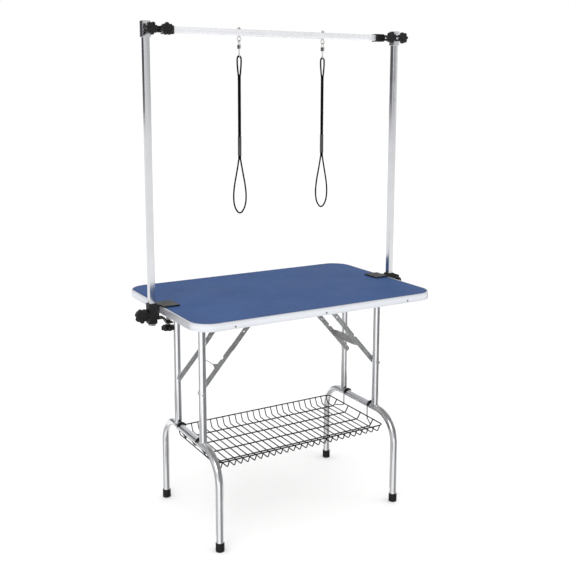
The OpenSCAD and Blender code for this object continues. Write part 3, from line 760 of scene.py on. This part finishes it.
class GROOM_OT_stage(bpy.types.Operator):
    """Make the camera, the floor and the light"""

    bl_idname = "grooming.stage"
    bl_label = "Stage"

    def execute(self, context):
        studio = context.scene.grooming_studio
        self.make_camera(context, studio)
        self.make_floor(studio)
        for name, sector, grey in CARDS:
            self.make_cards(name, sector, grey)
        self.make_sky(context, studio)
        for name, place, size in LIGHTS:
            self.make_light(name, place, size, getattr(studio, name))
        context.scene.view_settings.view_transform = "Standard"
        return {"FINISHED"}

    def make_camera(self, context, studio):
        data = bpy.data.cameras.new("camera")
        data.sensor_width = 36.0
        data.lens = studio.lens
        data.shift_y = studio.shift
        data.clip_start, data.clip_end = 0.05, 60.0
        camera = put("camera", data)
        a, e, roll = studio.azimuth, studio.elevation, studio.roll
        back = Vector((math.sin(a) * math.cos(e), -math.cos(a) * math.cos(e), math.sin(e)))
        right = Vector((math.cos(a), math.sin(a), 0))
        up = back.cross(right)
        side = right * math.cos(roll) + up * math.sin(roll)
        top = up * math.cos(roll) - right * math.sin(roll)
        turn = Matrix((side, top, back)).transposed().to_4x4()
        camera.matrix_world = Matrix.Translation(studio.place) @ turn
        context.scene.camera = camera

    def make_floor(self, studio):
        points, faces = turned([(0.001, 0.0), (FLOOR_R, 0.0)], FLOOR_STEPS)
        mesh = Shape().add((points, faces[:FLOOR_STEPS])).mesh("floor")
        floor = put("floor", mesh)
        made, graph, shader = material("floor_paint", specular=0.2)
        cloud = graph.noise(graph.place(), 2.0, 2.0)
        tone = graph.mix(cloud, scaled(studio.floor_colour, 0.995), scaled(studio.floor_colour, 1.005))
        finish(graph, shader, tone, 0.8)
        mesh.materials.append(made)

    def make_cards(self, name, sector, grey):
        """Curved grey cards round the legs that only show in the tubes' reflections."""
        across, gap = CARD_STEPS + 1, 2 * MM
        first, last = sector
        angles = [math.radians(first + (last - first) * i / CARD_STEPS) for i in range(across)]
        foot_rows = ((0.02, gap), (CARD_REACH, gap), (CARD_REACH, CARD_FOOT))
        shape = Shape()
        for x in (-LEG_X, LEG_X):
            for y, rows in ((-FOOT_Y, foot_rows), (FOOT_Y, foot_rows),
                            (0.0, ((CARD_REACH, CARD_TOP), (CARD_REACH, HINGE_Z)))):
                points = [(x + r * math.cos(a), y + r * math.sin(a), z) for r, z in rows for a in angles]
                starts = [row * across + k for row in range(len(rows) - 1) for k in range(CARD_STEPS)]
                faces = [(k, k + 1, k + 1 + across, k + across) for k in starts]
                shape.add((points, faces))
        mesh = shape.mesh(name)
        card = put(name, mesh)
        made, graph, shader = material(name, specular=0.0)
        cloud = graph.noise(graph.place(), 3.0, 2.0)
        tone = graph.mix(cloud, (grey * 0.97,) * 3, (grey * 1.03,) * 3)
        finish(graph, shader, tone, 0.9)
        mesh.materials.append(made)
        card.visible_camera = card.visible_diffuse = card.visible_shadow = False

    def make_sky(self, context, studio):
        world = bpy.data.worlds.new("studio")
        context.scene.world = world
        world.use_nodes = True
        graph = Graph(world.node_tree)
        background = world.node_tree.nodes["Background"]
        direction = graph.node("ShaderNodeTexCoord").outputs["Generated"]
        shades = []
        for flag, start, end in FLAGS:
            towards = graph.node("ShaderNodeVectorMath", {0: direction, 1: flag}, operation="DOT_PRODUCT")
            shades.append(graph.remap(towards.outputs["Value"], start, end))
        shade = graph.maths("MAXIMUM", *shades)
        height = graph.node("ShaderNodeSeparateXYZ", {"Vector": direction}).outputs["Z"]
        shade = graph.maths("MAXIMUM", shade, graph.remap(height, *CEILING))
        around = graph.mix(shade, ROOM_GREY, FLAG_GREY)
        rays = graph.node("ShaderNodeLightPath").outputs
        around = graph.mix(rays["Is Diffuse Ray"], around, (1.0, 1.0, 1.0))
        white = 1.0 / studio.sky
        graph.give(background.inputs["Color"], graph.mix(rays["Is Camera Ray"], around, (white,) * 3))
        background.inputs["Strength"].default_value = studio.sky

    def make_light(self, name, place, size, power):
        data = bpy.data.lights.new(name, "AREA")
        data.shape = "SQUARE"
        data.size = size
        data.energy = power
        lamp = put(name, data)
        aim = Vector((0, 0, 0.9)) - Vector(place)
        lamp.matrix_world = Matrix.Translation(place) @ aim.to_track_quat("-Z", "Y").to_matrix().to_4x4()


# ---- nooses ----
# one side of the rope from the snap's ring down: out from its middle and up from its top, in millimetres
HALF_ROUTE = [
    (1, 0), (3.6, -0.9), (6.2, -4.6), (7.2, -12), (7, -26), (5.4, -45), (3.8, -60), (2.8, -75),
    (2.8, -210), (2.8, -326), (4.5, -345), (9, -370), (14, -395), (19, -420), (22.5, -445),
    (23.5, -463), (22.5, -482), (18.5, -499), (12, -511), (4.5, -518.5),
]


class GROOM_OT_nooses(bpy.types.Operator):
    """Make the two ropes and their sliding sleeves"""

    bl_idname = "grooming.nooses"
    bl_label = "Nooses"

    def execute(self, context):
        noose = context.scene.grooming_noose
        for side in SIDES:
            slider = self.make_slider(side)
            self.make_rope(side, noose, slider)
            dress(f"{side}_snap", "nickel")
            dress(f"{side}_latch", "nickel")
        dress("eye_bolts", "nickel", 0.0003)
        return {"FINISHED"}

    def make_rope(self, side, noose, slider):
        x = middle(f"{side}_snap").x
        down = [Vector((x - dx * MM, 0, ROPE_TOP + dz * MM)) for dx, dz in HALF_ROUTE]
        up = [Vector((x + dx * MM, 0, ROPE_TOP + dz * MM)) for dx, dz in reversed(HALF_ROUTE)]
        path = smooth_path(down + up, ROPE_STEPS)
        lengths = [0.0]
        for a, b in zip(path, path[1:]):
            lengths.append(lengths[-1] + (b - a).length)
        radius = noose.rope_d / 2

        def braid(step, angle):
            turn = math.tau * lengths[step] / noose.braid
            one = math.cos(STRANDS * angle + STRANDS * turn)
            other = math.cos(STRANDS * angle - STRANDS * turn)
            return radius * (1 - BRAID_DEPTH + BRAID_DEPTH * max(one, other))

        shape = Shape().add(swept(path, braid, 24, side_start=(0, 1, 0)))
        rope = shape.build(f"{side}_noose_rope", "rope", f"{side}_noose", [f"{side}_rope"],
                           "rope_black", 80)

    def make_slider(self, side):
        lo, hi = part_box(f"{side}_slider")
        r, wall, lip = (hi.x - lo.x) / 2, 0.8 * MM, 0.35 * MM
        inner = r - wall
        profile = [(inner, lo.z), (r - 0.5 * MM, lo.z), (r, lo.z + 0.6 * MM), (r, lo.z + 3 * MM),
                   (r - lip, lo.z + 3.6 * MM), (r - lip, hi.z - 3.6 * MM), (r, hi.z - 3 * MM),
                   (r, hi.z - 0.6 * MM), (r - 0.5 * MM, hi.z), (inner, hi.z)]
        place = Matrix.Translation((middle(f"{side}_slider").x, 0, 0))
        shape = Shape().add(turned(profile, 40, closed=True), place)
        return shape.build(f"{side}_noose_sleeve", "slider", f"{side}_noose_slider", [f"{side}_slider"],
                           "slider_grey")


# ---- tabletop ----
class GROOM_OT_top(bpy.types.Operator):
    """Make the mat and the edge trim, and finish the board"""

    bl_idname = "grooming.top"
    bl_label = "Tabletop"

    def execute(self, context):
        top = context.scene.grooming_top
        self.make_mat(top)
        self.make_trim(top)
        dress("table_board", "board")
        return {"FINISHED"}

    def make_mat(self, top):
        lo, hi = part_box("table_mat")
        bend = top.mat_edge
        gap = top.lip + MAT_GAP
        levels = [(gap, lo.z), (gap, hi.z - bend)]
        for i in range(1, MAT_BEND_STEPS + 1):
            angle = math.radians(90) * i / MAT_BEND_STEPS
            levels.append((gap + bend * (1 - math.cos(angle)), hi.z - bend * (1 - math.sin(angle))))
        levels.append((gap + bend + MAT_BORDER, hi.z))
        points = [p + Vector((0, 0, z)) for inset, z in levels for p, _ in table_outline(inset)]
        count = len(points) // len(levels)
        shape = Shape().add((points, skin(len(levels), count)))
        mat = shape.build("non_slip_mat", "mat", "tabletop", ["table_mat"], "mat")
        # the side faces, the rounded bend and the flat border band take the darker copy, painted shade beside
        # the trim's lip
        mat.data.materials.append(finish_of("mat_shade_border"))
        for face in mat.data.polygons[:(len(levels) - 1) * count]:
            face.material_index = 1

    def make_trim(self, top):
        lo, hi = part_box("edge_trim")
        z0, z1, web, lip = lo.z, hi.z, 1.6 * MM, top.lip
        groove, flange, thick = 0.35 * MM, 9 * MM, 1.5 * MM
        profile = [(1.2 * MM, z0), (0.4 * MM, z0 + 0.25 * MM), (0, z0 + 0.9 * MM)]
        for z in (z0 + 3.6 * MM, z1 - 4.4 * MM):
            profile += [(0, z - 0.5 * MM), (groove, z - 0.15 * MM), (groove, z + 0.15 * MM),
                        (0, z + 0.5 * MM)]
        profile += [(0, z1 - 1.9 * MM), (0.25 * MM, z1 - 0.9 * MM), (0.9 * MM, z1 - 0.25 * MM),
                    (1.8 * MM, z1), (lip - 0.7 * MM, z1), (lip - 0.15 * MM, z1 - 0.2 * MM),
                    (lip, z1 - 0.6 * MM), (lip, BOARD_TOP), (web, BOARD_TOP), (web, BOARD_UNDER),
                    (flange, BOARD_UNDER), (flange, BOARD_UNDER - thick), (web, BOARD_UNDER - thick),
                    (web, z0 + 0.3 * MM)]
        outline = table_outline(0.0)
        points = [p - inset * out + Vector((0, 0, z)) for p, out in outline for inset, z in profile]
        shape = Shape().add((points, skin(len(outline), len(profile), closed=True)))
        shape.build("aluminium_edge", "trim", "tabletop", ["edge_trim"], "trim", 30)


class GROOM_OT_fasteners(bpy.types.Operator):
    """Make the rivets of the trim and the screws of the brackets, and finish the brackets"""

    bl_idname = "grooming.fasteners"
    bl_label = "Rivets, screws and brackets"

    def execute(self, context):
        edge = context.scene.grooming_metal.edge_round
        self.make_rivets()
        self.make_screws()
        dress("hinge_saddles", "bright_zinc", edge)
        dress("brace_anchors", "bright_zinc", edge)
        return {"FINISHED"}

    def make_rivets(self):
        edge, z = high("edge_trim"), middle("trim_rivets").z
        dome = turned([(AXIS_R, -1.5 * MM), (3.4 * MM, -1.5 * MM), (3.4 * MM, 0.15 * MM),
                       (3.1 * MM, 0.6 * MM), (2.3 * MM, 1.0 * MM), (1.5 * MM, 1.15 * MM),
                       (1.25 * MM, 1.1 * MM), (1.1 * MM, 0.5 * MM), (AXIS_R, 0.45 * MM)], 28)
        shape = Shape()
        for s, front in product((-1, 0, 1), (-1, 1)):
            shape.add(dome, facing((0, front, 0), (s * RIVET_X, front * edge.y, z)))
        for s, end in product((-1, 1), repeat=2):
            shape.add(dome, facing((end, 0, 0), (end * edge.x, s * RIVET_Y, z)))
        shape.build("trim_pop_rivets", "rivet", "tabletop", ["trim_rivets"], "rivet_zinc")

    def make_screws(self):
        head = 2.5 * MM
        profile = [(AXIS_R, 4.0 * MM), (1.9 * MM, 4.0 * MM), (1.9 * MM, 0), (4.4 * MM, 0),
                   (4.5 * MM, -0.4 * MM), (4.0 * MM, -1.5 * MM), (2.8 * MM, -head), (AXIS_R, -head * 1.02)]
        shape = Shape()
        anchor_x = high("brace_anchors").x - ANCHOR_SCREWS["back"]
        for node, screws, x in (("hinge_saddles", SADDLE_SCREWS, LEG_X),
                                ("brace_anchors", ANCHOR_SCREWS, anchor_x)):
            y, z = high(node).y - screws["from_end"], BOARD_UNDER - screws["plate"]
            for sx, sy, s in product((-1, 1), repeat=3):
                place = Matrix.Translation((sx * x + s * screws["apart"], sy * y, z))
                shape.add(turned(profile, 24), place)
                for turn in (0, 90):
                    shape.add(self.slot_mark(head),
                              place @ Matrix.Rotation(math.radians(turn + SCREW_TURN), 4, "Z"))
        shape.build("pan_head_screws", "bright_zinc", "tabletop", ["bracket_screws"], "rivet_zinc")

    def slot_mark(self, head):
        """One raised burr line of the cross recess."""
        half, wide, rise = 2.2 * MM, 0.3 * MM, 0.12 * MM
        z0, z1 = -head, -head - rise
        points = [(x, y, z) for z in (z0 * 0.9, z1) for x, y in
                  ((-half, -wide), (half, -wide), (half, wide), (-half, wide))]
        faces = [[0, 1, 2, 3], [7, 6, 5, 4], [0, 4, 5, 1], [1, 5, 6, 2], [2, 6, 7, 3], [3, 7, 4, 0]]
        return points, faces


# ---- leg frames ----
class GROOM_OT_legs(bpy.types.Operator):
    """Finish the leg tubes and make their weld beads and rubber feet"""

    bl_idname = "grooming.legs"
    bl_label = "Leg frames"

    def execute(self, context):
        metal = context.scene.grooming_metal
        for side in SIDES:
            for node in ("uprights", "foot_arch"):
                dress(f"{side}_{node}", "tube_up")
            dress(f"{side}_hinge_tube", "tube_level", 0.0004)
            dress(f"{side}_pivot_bolts", "bright_zinc", metal.edge_round)
            self.make_welds(side, metal.weld_r)
            self.make_feet(side)
        return {"FINISHED"}

    def make_welds(self, side, bead):
        x = -LEG_X if side == "left" else LEG_X
        shape = Shape()
        steps = 96
        for y in (-UPRIGHT_Y, UPRIGHT_Y):
            for z, tube, up in ((BAR_Z, TUBE_R, 1), (HINGE_Z, HINGE_R, -1)):
                path = []
                for i in range(steps):
                    angle = math.tau * i / steps
                    dx = TUBE_R * math.cos(angle)
                    reach = math.sqrt(max(tube ** 2 - dx ** 2, 0.0))
                    path.append(Vector((x + dx, y + TUBE_R * math.sin(angle), z + up * reach)))

                def ripple(step, _angle):
                    return bead * (1.0 + 0.14 * math.cos(math.tau * step * 16 / steps))

                shape.add(swept(path, ripple, 10, closed=True))
        shape.build(f"{side}_weld_beads", "weld", f"{side}_leg_frame", (), "tube_chrome", 60)

    def make_feet(self, side):
        lo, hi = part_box(f"{side}_feet")
        x, r, tall = middle(f"{side}_feet").x, (hi.x - lo.x) / 2, hi.z - lo.z
        inner = TUBE_R + 0.02 * MM
        profile = [(AXIS_R, 0.6 * MM), (r - 5 * MM, 0.6 * MM), (r - 4.4 * MM, 0), (r - 1.2 * MM, 0),
                   (r - 0.2 * MM, 0.5 * MM), (r, 1.6 * MM), (r, 5 * MM)]
        for z in (7 * MM, 10 * MM, 13 * MM):
            profile += [(r, z), (r - 0.5 * MM, z + 0.4 * MM), (r - 0.5 * MM, z + 0.9 * MM), (r, z + 1.3 * MM)]
        profile += [(r - 0.1 * MM, tall - 2.2 * MM), (r - 0.4 * MM, tall - 0.7 * MM), (r - 1.1 * MM, tall),
                    (inner, tall), (inner, 3 * MM), (AXIS_R, 3 * MM)]
        shape = Shape()
        for y in (-FOOT_Y, FOOT_Y):
            shape.add(turned(profile, 48), Matrix.Translation((x, y, lo.z)))
        shape.build(f"{side}_rubber_feet", "foot", f"{side}_leg_frame", [f"{side}_feet"], "foot_rubber")


class GROOM_OT_braces(bpy.types.Operator):
    """Finish the folding braces and make their knee rivets"""

    bl_idname = "grooming.braces"
    bl_label = "Braces"

    def execute(self, context):
        edge = context.scene.grooming_metal.edge_round
        for side in SIDES:
            dress(f"{side}_upper_links", "zinc", edge)
            dress(f"{side}_lower_links", "zinc", edge)
            dress(f"{side}_strap", "zinc", edge * 0.7)
            self.make_rivets(side)
        return {"FINISHED"}

    def make_rivets(self, side):
        lo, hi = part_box(f"{side}_knee_rivets")
        centre = (lo + hi) / 2
        r, head = (hi.x - lo.x) / 2, 2 * MM
        profile = [(AXIS_R, head + 2.3 * MM), (4 * MM, head + 2.3 * MM), (4 * MM, head), (r, head),
                   (r, head - 0.6 * MM), (r * 0.86, head * 0.35), (r * 0.55, 0.12 * MM), (AXIS_R, 0)]
        shape = Shape()
        inner_y = hi.y - 4.5 * MM
        for s in (-1, 1):
            shape.add(turned(profile, 32), facing((0, s, 0), (centre.x, s * inner_y, centre.z)))
        shape.build(f"{side}_knee_rivet_heads", "bright_zinc", f"{side}_lower_brace",
                    [f"{side}_knee_rivets"], "rivet_zinc")


# ---- basket ----
class GROOM_OT_basket(bpy.types.Operator):
    """Make the basket's bent wires and hooks, and finish its rim"""

    bl_idname = "grooming.basket"
    bl_label = "Basket"

    def execute(self, context):
        wires = context.scene.grooming_basket
        dress("basket_rim", "wire")
        dress("hook_sleeves", "vinyl")
        span = high("basket_cross_wires").x - low("basket_cross_wires").x - 2 * wires.cross_r
        count = round(span / wires.pitch) + 1
        cross_xs = [(i - (count - 1) / 2) * wires.pitch for i in range(count)]
        self.make_wires("cross", RIM_Y, cross_xs, wires.cross_r, 10, wires.bend, lambda x, y, z: (y, x, z))
        self.make_wires("long", RIM_X, LONG_WIRE_YS, wires.long_r, 12, wires.bend, lambda x, y, z: (x, y, z))
        self.make_hooks(wires)
        return {"FINISHED"}

    def make_wires(self, kind, reach, places, radius, sides, bend, turn):
        """Wires from rim to rim over the floor, made along X; turn puts them the way that they run."""
        node = f"basket_{kind}_wires"
        end, foot = reach - WIRE_OVERLAP, reach - WALL_RUN
        top, floor = RIM_Z - WIRE_DROP, low(node).z + radius
        shape = Shape()
        for at in places:
            corners = [turn(x, at, z) for x, z in ((-end, top), (-foot, floor), (foot, floor), (end, top))]
            shape.add(swept(rounded_corners(corners, bend), radius, sides, side_start=turn(0, 1, 0)))
        shape.build(f"bent_{kind}_wires", "wire", "basket", [node], "basket_wire", 60)

    def make_hooks(self, wires):
        long_z = low("basket_long_wires").z + wires.long_r
        hook_y = high("hook_sleeves").y - HOOK_SLEEVE_R
        radius = LEG_X - (RIM_X + RIM_R + wires.hook_r)
        foot_y = LONG_WIRE_YS[-1] - wires.long_r - wires.hook_r - HOOK_GAP
        riser = LEG_X - radius
        turns = [math.radians(a) for a in range(176, 4, -6)]
        arc = [Vector((LEG_X + radius * math.cos(a), hook_y, BAR_Z + radius * math.sin(a))) for a in turns]
        corners = [(RIM_X - HOOK_TUCK, foot_y, long_z + HOOK_RISE), (riser, hook_y, RIM_Z - HOOK_DROP),
                   (riser, hook_y, BAR_Z)]
        bend = rounded_corners(corners, HOOK_BEND)
        shape = Shape()
        for sx, sy in product((-1, 1), repeat=2):
            path = [Vector((sx * p.x, sy * p.y, p.z)) for p in bend + arc]
            shape.add(swept(path, wires.hook_r, 12))
        shape.build("bent_hooks", "wire", "basket", ["basket_hooks"], "basket_wire", 60)


# ---- clamps, posts and knobs ----
def star_knob(diameter, thick, hub_r, hub_len, lobes):
    """A star knob about Z: its back face at 0, its front face at thick, its hub below 0."""
    per_lobe, valley, centre, lobe_r = 18, 0.37 * diameter, 0.35 * diameter, 0.15 * diameter
    count = per_lobe * lobes

    def outline(k):
        off = (k + per_lobe / 2) % per_lobe / per_lobe - 0.5
        angle = off * math.tau / lobes
        across = centre * math.sin(angle)
        if abs(across) >= lobe_r:
            return valley
        return max(valley, centre * math.cos(angle) + math.sqrt(lobe_r ** 2 - across ** 2))

    d, t = diameter, thick
    rings = [("round", 0.001 * d, -hub_len), ("round", hub_r - 0.6 * MM, -hub_len),
             ("round", hub_r, -hub_len + 0.6 * MM), ("round", hub_r, -0.8 * MM),
             ("round", hub_r + 0.8 * MM, 0.0), ("star", 0.94, 0.0), ("star", 0.985, 0.5 * MM),
             ("star", 1.0, 1.8 * MM), ("star", 1.0, t - 3.6 * MM), ("star", 0.99, t - 2.0 * MM),
             ("star", 0.955, t - 0.8 * MM), ("star", 0.90, t - 0.15 * MM), ("star", 0.86, t),
             ("round", 0.300 * d, t), ("round", 0.290 * d, t - 0.9 * MM), ("round", 0.265 * d, t - 0.9 * MM),
             ("round", 0.255 * d, t - 0.1 * MM), ("round", 0.165 * d, t - 0.25 * MM),
             ("round", 0.155 * d, t - 1.2 * MM), ("round", 0.135 * d, t - 1.2 * MM),
             ("round", 0.125 * d, t - 0.2 * MM), ("round", 0.001 * d, t)]
    points = []
    for kind, size, z in rings:
        points += ring(count, (lambda k, _angle: size * outline(k)) if kind == "star" else size, z)
    return points, skin(len(rings), count)


class GROOM_OT_knobs(bpy.types.Operator):
    """Make the star knobs and their threaded studs"""

    bl_idname = "grooming.knobs"
    bl_label = "Star knobs"

    def execute(self, context):
        knob = context.scene.grooming_knob
        turns = {"left_post_knob": 8, "right_post_knob": 31, "left_sleeve_knob": 17, "left_bar_knob": 40,
                 "right_sleeve_knob": 3, "right_bar_knob": 24}
        for node, turn in turns.items():
            self.make_front_knob(node, knob, turn)
        for side, turn in (("left", 12), ("right", 37)):
            self.make_clamp_knob(side, knob, turn)
        return {"FINISHED"}

    def make_front_knob(self, node, knob, turn):
        lo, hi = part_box(node)
        right_clamp = node == "right_post_knob"
        front = 1 if right_clamp else -1
        size, tall = SMALL_KNOB if hi.z - lo.z < KNOB_SPLIT else LARGE_KNOB
        centre = (lo + hi) / 2
        face, tip = (hi.y, lo.y) if right_clamp else (lo.y, hi.y)
        place = facing((0, front, 0), (centre.x, face - front * tall, centre.z))
        spin = Matrix.Rotation(math.radians(turn), 4, "Z")
        star = Shape().add(star_knob(size, tall, size * HUB_SHARE, HUB_LEN, knob.lobes), place @ spin)
        star.build(f"{node}_star", "knob", node, [node], "knob_plastic", 34)
        reach = abs(tip - face) - tall
        stud = Shape().add(threaded(knob.stud_r, knob.stud_pitch, -reach, -STUD_TUCK), place)
        stud.build(f"{node}_stud", "bright_zinc", node, [node], "rivet_zinc", 50)

    def make_clamp_knob(self, side, knob, turn):
        lo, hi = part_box(f"{side}_clamp_knob")
        centre = (lo + hi) / 2
        size, tall = CLAMP_KNOB
        place = facing((0, 0, -1), (centre.x, centre.y, lo.z + tall))
        spin = Matrix.Rotation(math.radians(turn), 4, "Z")
        star = Shape().add(star_knob(size, tall, CLAMP_HUB_R, hi.z - lo.z - tall, knob.lobes), place @ spin)
        star.build(f"{side}_clamp_star", "knob", f"{side}_clamp_screw", [f"{side}_clamp_knob"],
                   "knob_plastic", 34)


class GROOM_OT_clamps(bpy.types.Operator):
    """Finish the clamps and make their threaded screws and pressure pads"""

    bl_idname = "grooming.clamps"
    bl_label = "Clamps"

    def execute(self, context):
        edge = context.scene.grooming_metal.edge_round
        for side in SIDES:
            dress(f"{side}_clamp_body", "coat", edge)
            lo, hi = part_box(f"{side}_clamp_screw")
            at = Matrix.Translation(((lo.x + hi.x) / 2, (lo.y + hi.y) / 2, 0))
            screw = Shape().add(threaded((hi.x - lo.x) / 2, SCREW_PITCH, lo.z, hi.z, 24), at)
            screw.build(f"{side}_clamp_thread", "bright_zinc", f"{side}_clamp_screw",
                        [f"{side}_clamp_screw"], "clamp_pad_steel", 50)
            lo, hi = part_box(f"{side}_clamp_pad")
            r = (hi.x - lo.x) / 2
            profile = [(AXIS_R, lo.z), (r * 0.5, lo.z), (r * 0.56, lo.z + 1.0 * MM),
                       (r - 1.2 * MM, lo.z + 1.6 * MM), (r - 0.2 * MM, lo.z + 2.2 * MM),
                       (r, lo.z + 3.0 * MM), (r, hi.z - 0.6 * MM), (r - 0.5 * MM, hi.z), (AXIS_R, hi.z)]
            pad = Shape().add(turned(profile, 48), at)
            pad.build(f"{side}_pressure_pad", "bright_zinc", f"{side}_clamp_pad", [f"{side}_clamp_pad"],
                      "clamp_pad_steel")
        return {"FINISHED"}


class GROOM_OT_arm(bpy.types.Operator):
    """Finish the posts, the sleeves, the brackets and the crossbar"""

    bl_idname = "grooming.arm"
    bl_label = "Overhead arm"

    def execute(self, context):
        edge = context.scene.grooming_metal.edge_round
        for side in SIDES:
            dress(f"{side}_post", "post", edge * 2.5)
            dress(f"{side}_post_cap", "post", edge)
        dress("post_sleeves", "post", edge)
        dress("crossbar", "bar", edge * 2.5)
        dress("bar_brackets", "coat", edge)
        return {"FINISHED"}


class GROOM_PT_panel(bpy.types.Panel):
    """Settings and operators of the grooming table"""

    bl_idname = "GROOM_PT_panel"
    bl_label = "Grooming Table"
    bl_space_type = "VIEW_3D"
    bl_region_type = "UI"
    bl_category = "Grooming Table"

    def draw(self, context):
        for name in SETTINGS:
            group = getattr(context.scene, name)
            box = self.layout.box()
            for key in group.bl_rna.properties.keys():
                if key not in {"rna_type", "name"}:
                    box.prop(group, key)
        for operator in OPERATORS:
            self.layout.operator(operator.bl_idname)


SETTINGS = {
    "grooming_top": TopSettings,
    "grooming_metal": MetalSettings,
    "grooming_knob": KnobSettings,
    "grooming_noose": NooseSettings,
    "grooming_basket": BasketSettings,
    "grooming_studio": StudioSettings,
}
OPERATORS = (GROOM_OT_stage, GROOM_OT_nooses, GROOM_OT_top, GROOM_OT_fasteners, GROOM_OT_legs,
             GROOM_OT_braces, GROOM_OT_basket, GROOM_OT_knobs, GROOM_OT_clamps, GROOM_OT_arm)


def register():
    for cls in (*SETTINGS.values(), *OPERATORS, GROOM_PT_panel):
        bpy.utils.register_class(cls)
    for name, group in SETTINGS.items():
        setattr(bpy.types.Scene, name, PointerProperty(type=group))


def unregister():
    for name in SETTINGS:
        delattr(bpy.types.Scene, name)
    for cls in reversed((*SETTINGS.values(), *OPERATORS, GROOM_PT_panel)):
        bpy.utils.unregister_class(cls)


def main():
    register()
    for operator in OPERATORS:
        area, name = operator.bl_idname.split(".")
        getattr(getattr(bpy.ops, area), name)()


if __name__ == "__main__":
    main()
